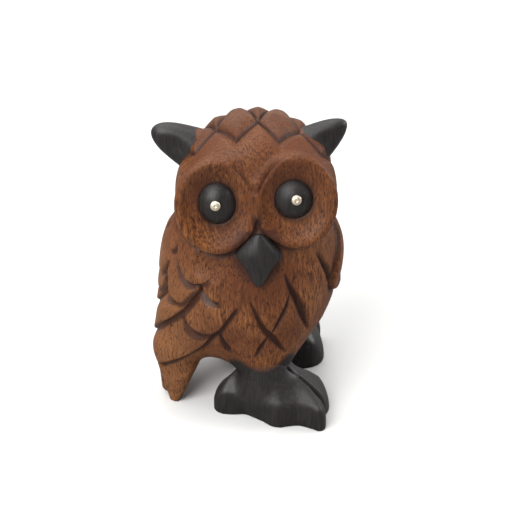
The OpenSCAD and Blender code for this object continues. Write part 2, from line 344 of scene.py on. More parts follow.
def loop_through(points, parts=4):
    """Closed Catmull-Rom curve."""
    p = np.array(points, float)
    t = np.linspace(0, 1, parts, endpoint=False)[:, None, None]
    a, b, c, d = (np.roll(p, k, 0)[None] for k in (1, 0, -1, -2))
    q = 0.5 * (2 * b + (c - a) * t + (2 * a - 5 * b + 4 * c - d) * t**2 + (3 * b - a - 3 * c + d) * t**3)
    return q.transpose(1, 0, 2).reshape(-1, 2)


FOOT_OUTLINE = loop_through(FOOT_PLAN)


def along_curve(p, normals, line, reach=9.0):
    """For points near a polyline: which ones, how far along it (0 to 1), and the signed distance to the
    left of travel."""
    near = np.all((p > line.min(0) - reach) & (p < line.max(0) + reach), axis=-1)
    q, n = p[near], normals[near]
    best = np.full(len(q), 1e9)
    frac, side = np.zeros(len(q)), np.zeros(len(q))
    steps = np.linalg.norm(np.diff(line, axis=0), axis=1)
    start = np.concatenate([[0], np.cumsum(steps)])
    for a, b, s0, length in zip(line[:-1], line[1:], start[:-1], steps):
        t = np.clip((q - a) @ (b - a) / length**2, 0, 1)
        away = q - a - t[:, None] * (b - a)
        d = np.linalg.norm(away, axis=1)
        better = d < best
        best = np.where(better, d, best)
        frac = np.where(better, (s0 + t * length) / start[-1], frac)
        left = np.sign((np.cross(n, b - a) * away).sum(1))
        side = np.where(better, left * d, side)
    return near, frac, side


class Relief:
    """Height of the carving over the plain form, and how much painted shade darkens its cuts and the
    ground under its feather edges, for a set of points. Lobes only show where free is 1."""

    EDGE = 0.8  # width over which a feather's edge drops
    UNDERCUT = 2.6  # how far past its edge a feather cuts down the one below
    LIP = (0.35, 0.5)  # how much, and how far in, an edge is rounded over

    def __init__(self, points, normals):
        self.points, self.normals = points, normals
        self.height = np.zeros(len(points))
        self.cut = np.zeros(len(points))
        self.free = np.ones(len(points))

    def gouge(self, line, width, depth, widest=0.6, lean=0.25, dark=1.0):
        """V-cut with pointed ends: its width swells to the widest place, one wall is steeper, and painted
        shade darkens it.
        """
        near, t, side = along_curve(self.points, self.normals, line)
        swell = np.where(t < widest, t / widest, (1 - t) / (1 - widest)) ** 0.6
        half = np.maximum(width / 2 * swell, 0.02)
        x = side / half
        v = np.clip(np.where(x > lean, (1 - x) / (1 - lean), (1 + x) / (1 + lean)), 0, 1)
        self.height[near] -= depth * np.clip(swell * 1.3, 0, 1) * (smooth_step(v) * 0.35 + v * 0.65)
        shade = dark * smooth_step(v * 2.6) * smooth_step(swell * 4)
        self.cut[near] = np.maximum(self.cut[near], shade)

    def lobe(self, line, lift=1.0, root=-0.5, length=10.0, under=0.8, fade=(2.0, 3.5), dark=0.95, foot=0.8):
        """A feather laid over what is there: it rises from its root to its edge, which is travelled with
        the feather on the left, and the surface under the edge is cut down and darkened with a painted
        shadow."""
        near, t, side = along_curve(self.points, self.normals, line, length + 3)
        total = np.linalg.norm(np.diff(line, axis=0), axis=1).sum()
        inward = np.maximum(side, 0)
        ends = smooth_step(t * total / (fade[0] + inward)) * smooth_step((1 - t) * total / (fade[1] + inward))
        ends = ends * self.free[near]
        own = root + (lift - root) * np.exp(-((inward / length) ** 1.6))
        own -= self.LIP[0] * np.exp(-inward / self.LIP[1])
        root_end = smooth_step((length + 2 - inward) / (0.5 * length))
        mask = smooth_step(side / self.EDGE + 0.5) * ends * root_end
        lower = self.height[near] - under * ends * np.exp(-((np.abs(side) / self.UNDERCUT) ** 1.5))
        self.height[near] = lower * (1 - mask) + own * mask
        # Painted shadow: a dark band just under the feather's edge, as wide as its foot.
        stain = dark * ends * np.exp(-(((side + 0.25 + foot / 2) / foot) ** 4))
        self.cut[near] = np.maximum(self.cut[near] * (1 - mask), stain)

    def swell(self, centre, reach, lift):
        """Soft mound: a bell over a reach in each direction."""
        x = (self.points - np.array(centre, float)) / np.array(reach, float)
        self.height += lift * np.exp(-(x**2).sum(1))


def chart(points, parts=6):
    """Curve on the block through (angle, height) points."""
    c = curve_through(points, parts)
    return on_body(c[:, 0], c[:, 1])


# Cuts on the breast: points as (angle, height), width, depth, and where each is widest
BREAST_CUTS = (
    (((23.5, 55.4), (28, 49.6), (33, 44.8), (38, 38.8), (44, 32.0)), 4.4, 1.9, 0.68),
    (((-2, 47.0), (3.5, 41.1), (8, 36.2), (14.5, 32.4), (25.5, 25.6)), 3.2, 1.5, 0.7),
    (((28, 48.4), (24, 42.7), (19.5, 39), (13.5, 34.0)), 2.3, 1.1, 0.55),
    (((12, 33.8), (7, 29.3), (2, 24.6)), 2.1, 1.0, 0.6),
    (((32, 54.6), (30.6, 52.5), (30, 51)), 0.9, 0.3, 0.5),
    (((52, 59.2), (57, 54.3), (61.5, 50.2), (66.5, 44.5)), 3.6, 1.8, 0.72),
    (((-25.5, 32.6), (-22.5, 28.8), (-18, 24.2)), 3.8, 1.6, 0.75),
)
# Feathers of the near wing from the lowest layer up. Each edge is travelled with its feather on the
# left: points as (angle, height), lift, root, length, and width of the painted shadow under the edge
NEAR_WING = (
    (
        (
            (-104, 12), (-92, 11.4), (-80, 12.2), (-72, 13.6), (-65, 16.0), (-58, 18.9),
            (-48, 22.7), (-39, 26.3), (-32, 30.2), (-24, 34.2), (-18, 38.6), (-9, 45),
        ), 1.0, -0.6, 15, 0.8,
    ),
    (
        (
            (-52, 40), (-49.5, 37.5), (-48, 35.6), (-45, 33.8), (-40.5, 32.5), (-34, 32.1),
            (-28, 33), (-23, 35.6),
        ), 1.1, -0.9, 12, 1.5,
    ),
    (
        (
            (-106, 21), (-96, 20.6), (-86, 22.4), (-76, 26.8), (-66, 31.2), (-57, 35.6),
            (-49, 39.9), (-44, 43.6), (-39, 47.3), (-35, 51),
        ), 1.0, -0.7, 10, 1.25,
    ),
    (((-110, 36), (-100, 32.4), (-90, 32.6), (-80, 36.2), (-72, 41.4), (-67, 46)), 0.7, -0.6, 8, 0.8),
    (
        (
            (-72, 54), (-68.5, 49.5), (-67.6, 45.8), (-64.6, 42.7), (-58, 41), (-52, 41.3),
            (-47.5, 43.4), (-43, 46.4), (-38.5, 49.4),
        ), 1.0, -1.0, 9, 0.8,
    ),
    (
        ((-112, 48), (-103, 43.4), (-94, 40.6), (-84, 39.6), (-76, 41), (-71.4, 45), (-69, 50)),
        0.9, -0.6, 8, 0.8,
    ),
    (
        ((-108, 60), (-97, 53.2), (-90, 48.4), (-84, 46.2), (-77, 46.8), (-71.6, 50), (-67, 54.6)),
        0.9, -0.6, 9, 0.8,
    ),
    (((-84, 74), (-79.5, 66), (-74.5, 60.6), (-69, 57.2), (-65.4, 57.6), (-63.6, 62)), 0.6, -0.4, 7, 0.7),
    (
        ((-41, 54), (-38.5, 52), (-36, 49.8), (-33, 47.7), (-29, 46.0), (-24.5, 45.2), (-19, 45.0)),
        1.1, 0.1, 14, 0.8,
    ),
    (
        (
            (-65, 72), (-63, 66), (-61, 61.6), (-58.2, 57.2), (-54, 53.6), (-49, 51),
            (-43, 50.1), (-38, 50.4), (-33, 51.6), (-28, 53),
        ), 1.25, 0.2, 13, 0.8,
    ),
)
# Hollows under the feather edges, darkened with painted shade: points, width and depth
HOLLOWS = (
    (((-50.5, 38), (-49.6, 33.4), (-46.5, 30.4), (-40, 29.6), (-31, 30.8)), 4.6, 1.3),
    (((-71.5, 50), (-69.5, 44.8), (-65.5, 41.0), (-57, 39.0)), 4.4, 1.2),
    (((-60.5, 56), (-55, 51.2), (-49, 48.6), (-40, 48.2)), 4.6, 1.2),
    (((-39, 50), (-36, 46.6), (-31, 44.2), (-22, 43.4)), 4.0, 1.2),
)
# The far wing repeats the lowest layers of the near one, turned a little further round, under one big
# feather whose edge is given as (angle, height)
FAR_LAYERS = 7
FAR_SHIFT = 5
FAR_FEATHER = (
    (99, 74), (92, 66), (84, 58.6), (77, 54.6), (71, 50.6), (67, 46.4), (68, 42.6), (78, 41.0), (92, 42),
)
# Soft mounds on the lower wing and the far shoulder: middle, reach each way, and rise
MOUNDS = (((-30, -3, 20.5), (6, 13, 6.5), 2.6), ((28, 4, 57), (9, 16, 12), 1.6))


def facing(z):
    """Angle that the body faces at each height: the breast turns with the head, the hips stay behind."""
    breast, shoulder, twisted, per_mm = 30, 55, 40, 1.15
    return breast + np.clip(shoulder - np.asarray(z, float), 0, twisted) * per_mm


def mirrored(points):
    """The same curve on the other side of the body."""
    p = np.array(points, float)[::-1]
    return np.stack([2 * facing(p[:, 1]) - p[:, 0], p[:, 1]], -1)


def carve_wings(r):
    """Feathers of the near wing and the far one, and the breast cuts over them."""
    for points, lift, root, length, foot in NEAR_WING:
        r.lobe(chart(points), lift, root, length, foot=foot)
    for points, lift, root, length, foot in NEAR_WING[:FAR_LAYERS]:
        r.lobe(chart(mirrored(points) + [FAR_SHIFT, 0]), lift, root, length, foot=foot)
    r.lobe(chart(FAR_FEATHER), 1.2, 0.2, 9)
    for points, width, depth in HOLLOWS:
        r.gouge(chart(points), width, depth, 0.45, lean=0.5, dark=0.85)
    for points, width, depth, widest in BREAST_CUTS:
        r.gouge(chart(points), width, depth, widest)
    for middle_at, reach, rise in MOUNDS:
        r.swell(middle_at, reach, rise)


BACK_ROWS = (30, 39, 48, 57, 66)
BACK_PITCH = 26  # degrees from one feather to the next
BACK_HALF = (14, 7.5)  # half width of a feather in degrees, and its depth


def carve_back(r):
    """Rows of rounded feathers down the back, each row set half a feather aside from the one above."""
    wide, deep = BACK_HALF
    bend = np.linspace(-1.5, 1.5, 7)
    for row, z in enumerate(BACK_ROWS):
        for step in (-1.5, -0.5, 0.5, 1.5):
            middle_angle = facing(z) + 180 + (step + (row % 2) * 0.5 - 0.25) * BACK_PITCH
            arc = [(middle_angle + wide * math.sin(a), z + 7 - deep * math.cos(a)) for a in bend]
            r.lobe(chart(arc, 4), 0.9, -0.6, 9)


TAIL_GROOVES = ((-8, -6.5), (-1.5, -1.8), (5, 3.2))  # place across the tail, at the root and at the tip
TAIL_SIDE_GROOVE = ((-30.6, -10, 17), (-29.8, -10.8, 9), (-28.8, -11, 1))


def carve_tail(r):
    """Long grooves between the tail feathers, on the outer face and on the near edge."""
    for y_top, y_tip in TAIL_GROOVES:
        line = curve_through([(-32, y_top, 26), (-31.5, (y_top + y_tip) / 2, 13), (-29.5, y_tip, 1)], 8)
        r.gouge(line, 1.6, 1.0, 0.8)
    r.gouge(curve_through(TAIL_SIDE_GROOVE, 8), 1.3, 0.9, 0.6)


CROWN_PITCH = 13.8
CROWN_MIDDLE = 1.6
# Angles over the crown, from the top backwards, of the hollow and the tip of each row of scales
CROWN_ROWS = ((-38.5, -11), (-11, 42), (42, 72), (72, 102), (102, 132), (132, 160))
BEVEL = (1.5, 2.6)  # depth of the zigzag's bevel, and how far it runs forward
SCALE_DOME = (2.0, 2.7, 4.6)  # depth of a scale's edge, its rise from there, and its radius
# The dark line and the darker tint below are painted shade over the crown's scales.
CROWN_LINE = 0.75  # half width of the dark line round a scale
CROWN_SHADE = 0.28  # how much darker the scales are


def carve_crown(r):
    """Rows of scales over the head. The brow ends in a zigzag with a flat bevel, and each scale behind
    it starts in a hollow of the row before, is domed between its sides and ends in a round tip. A line
    of painted shade runs round each scale, and the scales behind the zigzag are painted darker, painted
    shade that tones down the light on the top of the head."""
    q = r.points - SKULL_CENTRE
    over = np.degrees(np.arctan2(q[:, 1], q[:, 2]))
    per_degree = np.hypot(q[:, 1], q[:, 2]) * math.radians(1)
    phase = (r.points[:, 0] - CROWN_MIDDLE) / CROWN_PITCH

    def gap_to(row):
        """Distance in front of a row's boundary, allowing for its slant: straight sides in the zigzag,
        and a quarter of a sine wave up each side of a scale."""
        low, high = CROWN_ROWS[row]
        w = 1 - np.abs(((phase + 0.5 * row + 0.5) % 1) * 2 - 1)
        if row == 0:
            rise, steep = w, 1 + 0 * w
        else:
            rise, steep = np.sin(w * np.pi / 2), np.cos(w * np.pi / 2) * np.pi / 2
        slant = (high - low) * steep * 2 / CROWN_PITCH * per_degree
        return (low + (high - low) * rise - over) * per_degree / np.sqrt(1 + slant**2)

    height = np.zeros(len(q))
    cut = np.zeros(len(q))
    taken = np.zeros(len(q), bool)
    nearest = np.full(len(q), 9.0)
    for row in range(len(CROWN_ROWS)):
        ahead = gap_to(row)
        inside = (ahead >= 0) & ~taken
        room = np.minimum(ahead, nearest)
        if row == 0:
            shape = -BEVEL[0] * (1 - np.clip(ahead / BEVEL[1], 0, 1))
        else:
            x = np.clip(room / SCALE_DOME[2], 0, 1)
            shape = -SCALE_DOME[0] + SCALE_DOME[1] * np.sqrt(1 - (1 - x) ** 2) ** 1.15
        height = np.where(inside, shape, height)
        cut = np.where(inside, np.maximum(np.exp(-((room / CROWN_LINE) ** 4)), CROWN_SHADE * (row > 0)), cut)
        taken |= inside
        nearest = np.where(taken, nearest, np.minimum(nearest, -ahead))
    crown = smooth_step((r.points[:, 2] - 66) / 8) * smooth_step((over + 50) / 8) * taken
    crown *= smooth_step((156 - over) / 16)
    r.height += height * crown
    r.cut = np.maximum(r.cut, cut * crown)


# Lines between the brow and each disc, as (x, z) on the face
BROWS = (
    ((-7.5, 12.8), (-5.0, 10.4), (-2.6, 7.2), (-0.8, 3.6), (0.2, 1.6)),
    ((8.2, 13.6), (5.4, 10.6), (3.0, 7.2), (1.2, 3.6), (0.4, 1.6)),
)


def carve_face(r):
    """Rims, hollows and eye sockets of the facial discs, with painted shade in each dish and socket that
    is strongest under the brow, a painted shadow line under the discs, painted shade under and round the
    beak, and the lines between brow and discs, darkened with painted shade. k is 1 at a disc's rim, and e
    is 0 at an eye's."""
    f = in_face(r.points)
    front = smooth_step((2.5 - (f[:, 1] + DISC_FRONT)) / 2.5)
    for (cx, cz), (ex, ez), (rx, rz) in zip(DISC_CENTRES, EYE_SEATS, EYE_HALF):
        k = np.hypot((f[:, 0] - cx) / DISC_HALF[0], (f[:, 2] - cz) / DISC_HALF[1])
        n = np.hypot((f[:, 0] - ex) / rx, (f[:, 2] - ez) / rz)
        e = (n - 1) * (rx + rz) / 2

        def round_eye(width):
            """Bell that falls away from the eye's rim."""
            return np.exp(-((np.maximum(e, 0) / width) ** 2))

        dish = -2.1 * round_eye(5.4) * smooth_step((1.1 - k) / 0.3)
        lid = -0.5 * round_eye(2.2) * smooth_step((f[:, 2] - ez) / 6)
        rim = 0.3 * np.exp(-(((k - 0.86) / 0.12) ** 2))
        socket = smooth_step(-e / 0.6)
        r.height += front * (dish + lid + rim - 1.0 * socket)
        # Painted shade in the dish and socket round the eye, strongest above the eye under the brow.
        upper = 0.5 + 0.5 * smooth_step((f[:, 2] - ez) / 5)
        dish_shade = 0.6 * round_eye(1.1) + 0.34 * upper * round_eye(4.2)
        r.cut = np.maximum(r.cut, front * np.maximum(smooth_step((0.45 - e) / 0.5), dish_shade))
        low = smooth_step((-2 - f[:, 2]) / 5)
        # Painted shadow: a dark line just under the lower rim of each disc, over a shallow groove.
        under = smooth_step((k - 0.99) / 0.03) * np.exp(-((np.maximum(k - 1.09, 0) / 0.06) ** 2))
        under = under * low * smooth_step((11 - f[:, 1]) / 6)
        r.height -= 0.7 * under
        r.cut = np.maximum(r.cut, under)
    # Painted shade under and round the beak.
    beak_shade = np.hypot((f[:, 0] - BEAK_AT[0]) / 8.6, (f[:, 2] - BEAK_AT[1]) / 11.5)
    r.cut = np.maximum(r.cut, 0.75 * smooth_step((1.15 - beak_shade) / 0.35) * (f[:, 1] < 12) * (f[:, 2] < -9))
    for points in BROWS:
        line = curve_through([(x, 0, z) for x, z in points])
        flat = f * [1, 0, 1]
        facing_out = np.tile([0.0, -1.0, 0.0], (len(f), 1))
        near, t, side = along_curve(flat, facing_out, line)
        on = smooth_step((1 - f[near, 1]) / 3) * smooth_step(np.minimum(t, 1 - t) / 0.2)
        r.height[near] -= 0.9 * on * np.exp(-((side / 0.8) ** 2))
        r.cut[near] = np.maximum(r.cut[near], 0.6 * on * np.exp(-((side / 0.45) ** 2)))


STAIN_TOP = 19.9
STAIN_FAR_LEG = 4
STAIN_FADE = 4.5


def stain_height(x, ankle):
    """How high the black stain reaches: lowest down the middle of a leg and higher round its sides."""
    side = x - ankle[0] - 0.5
    higher = STAIN_FAR_LEG * (ankle[1] > 0)
    return STAIN_TOP + 2.6 * np.clip(np.abs(side) / 7, 0, 1.1) ** 2 + 0.1 * side + higher


def stain_legs(points):
    """How black the stain is round the ankles: it fades out a little way up each leg."""
    stain = np.zeros(len(points))
    for ankle in (RIGHT_ANKLE, LEFT_ANKLE):
        away = np.linalg.norm(points[:, :2] - ankle[:2], axis=1)
        up = points[:, 2] - stain_height(points[:, 0], ankle)
        stain = np.maximum(stain, smooth_step((12.5 - away) / 3) * smooth_step(0.5 - up / STAIN_FADE))
    return stain


# ------------------------------------------------------------------ meshes


def ring_faces(rings, n):
    """Quads between neighbouring rings, and a fan of triangles to the pole at each end."""
    i = np.arange(rings - 1)[:, None] * n
    j = np.arange(n)[None, :]
    k = (j + 1) % n
    quads = np.stack([i + j, i + k, i + n + k, i + n + j], -1).reshape(-1, 4)
    j, k = j[0], k[0]
    low = np.stack([np.full(n, rings * n), k, j], -1)
    high = np.stack([np.full(n, rings * n + 1), (rings - 1) * n + j, (rings - 1) * n + k], -1)
    return quads.tolist() + low.tolist() + high.tolist()


def make_piece(name, points, faces, material, node, cut=0.0, stain=1.0):
    """A smooth mesh piece at the origin, in metres, that stands for a CAD node. Its points carry how much
    painted shade darkens them in cuts and under edges, and how black their stain is."""
    mesh = bpy.data.meshes.new(name)
    mesh.from_pydata(((points + STAND) * MM).tolist(), [], faces)
    mesh.polygons.foreach_set("use_smooth", np.ones(len(mesh.polygons), bool))
    for key, values in (("cut", cut), ("stain", stain)):
        layer = mesh.attributes.new(key, "FLOAT", "POINT")
        layer.data.foreach_set("value", np.zeros(len(points), np.float32) + np.float32(values))
    mesh.update()
    piece = bpy.data.objects.new(name, mesh)
    bpy.context.scene.collection.objects.link(piece)
    mesh.materials.append(material)
    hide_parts(node)
    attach(piece, "root")
    return piece


def closed(gap, origins, turns, rises, low, high):
    """Skin of a form: rings of cast points, and a pole at each end."""
    way = rays(turns[None, :], rises[:, None])
    base = np.broadcast_to(origins[:, None, :], way.shape)
    ring = cast(gap, base, way).reshape(-1, 3)
    poles = cast(gap, np.array([low, high]), np.array([[0, 0, -1.0], [0, 0, 1.0]]))
    return np.vstack([ring, poles]), ring_faces(len(rises), len(turns))


BLOCK_AROUND = 372
BLOCK_RINGS = (76, 108, 80)  # below the hip, along the spine and over the skull
CROWDING = 0.34  # how much closer together the rays are round the front


def block_grid():
    """Rays of the block: below the hip, along the spine and over the skull, closer together in front."""
    under, side, over = BLOCK_RINGS
    u = np.linspace(0, 2 * np.pi, BLOCK_AROUND, endpoint=False)
    turns = u - CROWDING * np.sin(u - np.radians(-105))
    rises = np.concatenate(
        [
            -np.pi / 2 * (1 - np.arange(1, under) / under),
            np.zeros(side),
            np.pi / 2 * np.arange(1, over) / over,
        ]
    )
    spine = HIP + np.linspace(0, 1, side)[:, None] * (SKULL_CORE - HIP)
    origins = np.vstack([np.repeat(HIP[None], under - 1, 0), spine, np.repeat(SKULL_CORE[None], over - 1, 0)])
    return origins, turns, rises


def carved_block(material):
    """The block: the plain form, then its relief pushed along the form's normals."""
    origins, turns, rises = block_grid()
    points, faces = closed(owl_gap, origins, turns, rises, HIP, SKULL_CORE)
    normals = slope(owl_gap, points)
    r = Relief(points, normals)
    r.free = smooth_step((in_face(points)[:, 1] + 1.5) / 1.5)
    carve_back(r)
    carve_wings(r)
    carve_tail(r)
    carve_crown(r)
    carve_face(r)
    shaped = points + normals * r.height[:, None]
    shaped[:, 2] = np.maximum(shaped[:, 2], 0)
    stain = stain_legs(shaped)
    return make_piece("carved_owl_block", shaped, faces, material, "carved_block", r.cut, stain)


TOE_GROOVE = (
    (4.6, -3.0, 19.6), (9, -3.4, 17.6), (13.6, -4.2, 14.8), (17.6, -5.4, 11.2), (19.6, -6.2, 7.6),
    (20.2, -6.8, 4.4), (20, -7.0, 0.4),
)
FOOT_AROUND = 240
FOOT_RISES = 152
FOOT_CORE = np.array([3.0, 0.0, 6.0])


def foot(name, node, ankle, turn, side, tall, material):
    """A foot: rays from inside it, a groove between its toes, turned to its heading; the left one is a
    mirror of the right."""
    turns = np.linspace(0, 2 * np.pi, FOOT_AROUND, endpoint=False)
    rises = np.linspace(-np.pi / 2, np.pi / 2, FOOT_RISES)[1:-1]
    cores = np.repeat(FOOT_CORE[None], len(rises), 0)
    points, faces = closed(foot_gap, cores, turns, rises, FOOT_CORE, FOOT_CORE)
    r = Relief(points, slope(foot_gap, points))
    r.gouge(curve_through(TOE_GROOVE), 3.4, 2.4, 0.75, lean=0.3, dark=0.7)
    points = points + r.normals * r.height[:, None]
    points[:, 2] = np.maximum(points[:, 2], 0)
    points = points * [1, side, tall]
    if side < 0:
        faces = [f[::-1] for f in faces]
    points = points @ turn_about("z", turn).T + [ankle[0], ankle[1], 0]
    stain = smooth_step(0.5 - (points[:, 2] - stain_height(points[:, 0], ankle)) / STAIN_FADE)
    return make_piece(name, points, faces, material, node, r.cut, stain)


def lathe(profile, parts=64):
    """Rings about Z from a profile of (radius, height) points, closed by a pole at each end."""
    profile = np.array(profile, float)
    a = np.linspace(0, 2 * np.pi, parts, endpoint=False)
    ring = np.stack(
        [
            profile[1:-1, :1] * np.cos(a),
            profile[1:-1, :1] * np.sin(a),
            profile[1:-1, 1:] + 0 * a,
        ],
        -1,
    ).reshape(-1, 3)
    ends = np.array([[0, 0, profile[0, 1]], [0, 0, profile[-1, 1]]])
    return np.vstack([ring, ends]), ring_faces(len(profile) - 2, parts)


EAR_RISE = (28, 38)
EAR_LENGTH = (15.4, 15.2)
EAR_TAPER = (0.42, 0.54)
EAR_SEATS = (np.array([-18.6, 3, 88.0]), np.array([17.6, 3, 88.4]))


EAR_RADIUS = 7.4


def ear_tuft(name, node, seat, rise, length, taper, side, material):
    """Round-tipped cone: its radius falls as 1 - taper u - 0.08 u^2 along its length and is rounded off by
    sqrt(1 - u^6); its front is pressed hollow, and the black stain stops short of its root."""
    u = np.sin(np.linspace(-0.2, np.pi / 2, 44))
    radius = EAR_RADIUS * (1 - taper * u - 0.08 * u**2) * np.sqrt(1 - np.clip(u, 0, 1) ** 6)
    profile = [(0, length * u[0])] + list(zip(radius[:-1], length * u[:-1])) + [(0, length)]
    points, faces = lathe(profile, 96)
    up = points[:, 2] / length
    press = np.exp(-(((points[:, 0]) / 3.0) ** 2) - ((up - 0.45) / 0.3) ** 2) * (points[:, 1] > 0)
    points[:, 1] = points[:, 1] * 0.9 - 1.3 * press
    around = np.arctan2(points[:, 1], points[:, 0])
    ragged = 0.5 * np.sin(3 * around + side) + 0.2 * np.sin(7 * around) + 0.1 * np.sin(13 * around + 1)
    stain = smooth_step((points[:, 2] - 1.4 - ragged) / 1.6)
    along = np.array((side * math.cos(math.radians(rise)), 0, math.sin(math.radians(rise))))
    front = np.array([0.0, -1.0, 0.0])
    across = np.cross(front, along)
    turned = points @ np.stack([across, front, along])
    return make_piece(name, turned + seat, faces, material, node, 0.0, stain)


def on_face(points, seat, out):
    """Points built with Z out of the face, put at a place on it."""
    q = np.stack([points[:, 0] + seat[0], -points[:, 2] - out, points[:, 1] + seat[1]], -1)
    return from_face(q)


def eye(name, node, seat, half, material):
    """Domed oval plug: an arc of a circle turned about the middle and stretched, sunk in its socket."""
    rise, rim = 3.4, math.radians(62)
    a = np.linspace(rim, 0, 30)
    r, z = np.sin(a) / math.sin(rim), rise * (np.cos(a) - math.cos(rim)) / (1 - math.cos(rim))
    profile = [(0, -3), (1, -3)] + list(zip(r, z))
    points, faces = lathe(profile, 80)
    points = points * [half[0], half[1], 1]
    return make_piece(name, on_face(points, seat, DISC_FRONT - 2.9), faces, material, node)


def eye_pin(name, node, seat, material):
    """Domed nail head with a small sunk mark in its middle."""
    head, crown = 1.6, 0.7
    a = np.linspace(0, np.pi / 2, 16)[1:-1]
    r = np.concatenate([[0, head], head * np.cos(a), [0]])
    z = np.concatenate([[-0.8, -0.8], crown * np.sin(a), [crown]])
    z -= 0.25 * np.exp(-((r / 0.35) ** 2)) * (z > 0.3)
    points, faces = lathe(np.stack([r, z + 0.55], -1), 40)
    return make_piece(name, on_face(points, seat, DISC_FRONT), faces, material, node)


# Half width of the beak against height: blunt top, side corners, and a rounded tip
BEAK_SIDES = (
    (7.0, 0), (6.6, 1.8), (5.7, 2.7), (4.1, 4.1), (2.5, 5.5), (0.9, 6.6), (-1.1, 7.4),
    (-2.6, 5.8), (-5.2, 4.0), (-8.0, 2.5), (-10.0, 1.5), (-10.5, 0.8), (-10.8, 0),
)


def beak(material):
    """Soft diamond: a closed outline filled by rings that shrink towards its middle line while the
    front swells to a low ridge; it stands level although the face leans."""
    rows, cols = 72, 49
    height, half = (np.array(c, float) for c in zip(*BEAK_SIDES[::-1]))
    z = height[0] + (height[-1] - height[0]) * (1 - np.cos(np.linspace(0, np.pi, rows))) / 2
    width = np.interp(z, height, half)
    for _ in range(6):
        width[1:-1] = (width[:-2] + 2 * width[1:-1] + width[2:]) / 4
    c = np.linspace(-1, 1, cols)
    x = width[:, None] * c
    full = np.clip(width / 6.9, 0, 1)[:, None] ** 0.55
    y = 0.4 + 3.3 * full * (1 - np.abs(c) ** 2.0)
    front = np.stack([x, z[:, None] + 0 * x, y], -1)
    back = np.stack([x, z[:, None] + 0 * x, np.full_like(x, -1.5)], -1)[:, ::-1]
    loop = np.concatenate([front, back], 1)[1:-1]
    ends = np.array([[0, height[0], 0.2], [0, height[-1], 0.2]])
    points = np.vstack([loop.reshape(-1, 3), ends]) @ turn_about("z", FACE_ROLL)
    faces = ring_faces(rows - 2, cols * 2)
    return make_piece("carved_beak", on_face(points, BEAK_AT, 1.2), faces, material, "beak")


# ------------------------------------------------------------------ materials


def new_material(name):
    """Empty node material with a Principled shader; gives (material, nodes, links, shader)."""
    mat = bpy.data.materials.new(name)
    mat.use_nodes = True
    nodes, links = mat.node_tree.nodes, mat.node_tree.links
    return mat, nodes, links, nodes["Principled BSDF"]


GRAIN_INPUTS = (("Streak Scale", 1700.0), ("Stretch", 0.06), ("Pore Scale", 2700.0), ("Pore Stretch", 0.2))


def grain_group():
    """Wood grain along Z: warps the place a little, then makes streaks, pores and a broad figure."""
    g = bpy.data.node_groups.new("wood_grain", "ShaderNodeTree")
    face = g.interface
    for name, value in GRAIN_INPUTS:
        s = face.new_socket(name, in_out="INPUT", socket_type="NodeSocketFloat")
        s.default_value = value
    for name in ("Streaks", "Pores", "Figure"):
        face.new_socket(name, in_out="OUTPUT", socket_type="NodeSocketFloat")
    nodes, links = g.nodes, g.links
    gin, gout = nodes.new("NodeGroupInput"), nodes.new("NodeGroupOutput")
    coord = nodes.new("ShaderNodeTexCoord")

    def stretched(scale_socket, stretch_socket):
        comb = nodes.new("ShaderNodeCombineXYZ")
        comb.inputs[0].default_value = 1
        comb.inputs[1].default_value = 1
        links.new(stretch_socket, comb.inputs[2])
        mul = nodes.new("ShaderNodeVectorMath")
        mul.operation = "MULTIPLY"
        links.new(warp.outputs[0], mul.inputs[0])
        links.new(comb.outputs[0], mul.inputs[1])
        noise = nodes.new("ShaderNodeTexNoise")
        noise.inputs["Detail"].default_value = 3
        links.new(mul.outputs[0], noise.inputs["Vector"])
        links.new(scale_socket, noise.inputs["Scale"])
        return noise.outputs["Fac"]

    bend = nodes.new("ShaderNodeTexNoise")
    bend.inputs["Scale"].default_value = 45
    bend.inputs["Detail"].default_value = 2
    links.new(coord.outputs["Object"], bend.inputs["Vector"])
    push = nodes.new("ShaderNodeVectorMath")
    push.operation = "SCALE"
    push.inputs["Scale"].default_value = 0.006
    links.new(bend.outputs["Color"], push.inputs[0])
    warp = nodes.new("ShaderNodeVectorMath")
    warp.operation = "ADD"
    links.new(coord.outputs["Object"], warp.inputs[0])
    links.new(push.outputs[0], warp.inputs[1])
    links.new(stretched(gin.outputs["Streak Scale"], gin.outputs["Stretch"]), gout.inputs["Streaks"])
    pores = stretched(gin.outputs["Pore Scale"], gin.outputs["Pore Stretch"])
    links.new(scaled(nodes, links, pores, 0, 1, 0.53, 0.68), gout.inputs["Pores"])
    figure = nodes.new("ShaderNodeTexNoise")
    figure.inputs["Scale"].default_value = 60
    figure.inputs["Detail"].default_value = 4
    links.new(warp.outputs[0], figure.inputs["Vector"])
    links.new(figure.outputs["Fac"], gout.inputs["Figure"])
    return g


def ramp_between(nodes, links, fac, low, high, lo=0.0, hi=1.0):
    """Colour that goes from low to high as fac goes from lo to hi."""
    ramp = nodes.new("ShaderNodeValToRGB")
    ramp.color_ramp.elements[0].position = lo
    ramp.color_ramp.elements[1].position = hi
    ramp.color_ramp.elements[0].color = (*low, 1)
    ramp.color_ramp.elements[1].color = (*high, 1)
    links.new(fac, ramp.inputs["Fac"])
    return ramp.outputs["Color"]


def mixed(nodes, links, fac, a, b):
    """Mix of two colours by a socket."""
    mix = nodes.new("ShaderNodeMix")
    mix.data_type = "RGBA"
    links.new(fac, mix.inputs[0])
    for socket, value in ((mix.inputs[6], a), (mix.inputs[7], b)):
        if isinstance(value, tuple):
            socket.default_value = (*value, 1)
        else:
            links.new(value, socket)
    return mix.outputs[2]


def scaled(nodes, links, value, low, high, lo=0.0, hi=1.0):
    """Value mapped from (lo, hi) to (low, high)."""
    m = nodes.new("ShaderNodeMapRange")
    for key, number in (("From Min", lo), ("From Max", hi), ("To Min", low), ("To Max", high)):
        m.inputs[key].default_value = number
    links.new(value, m.inputs["Value"])
    return m.outputs["Result"]


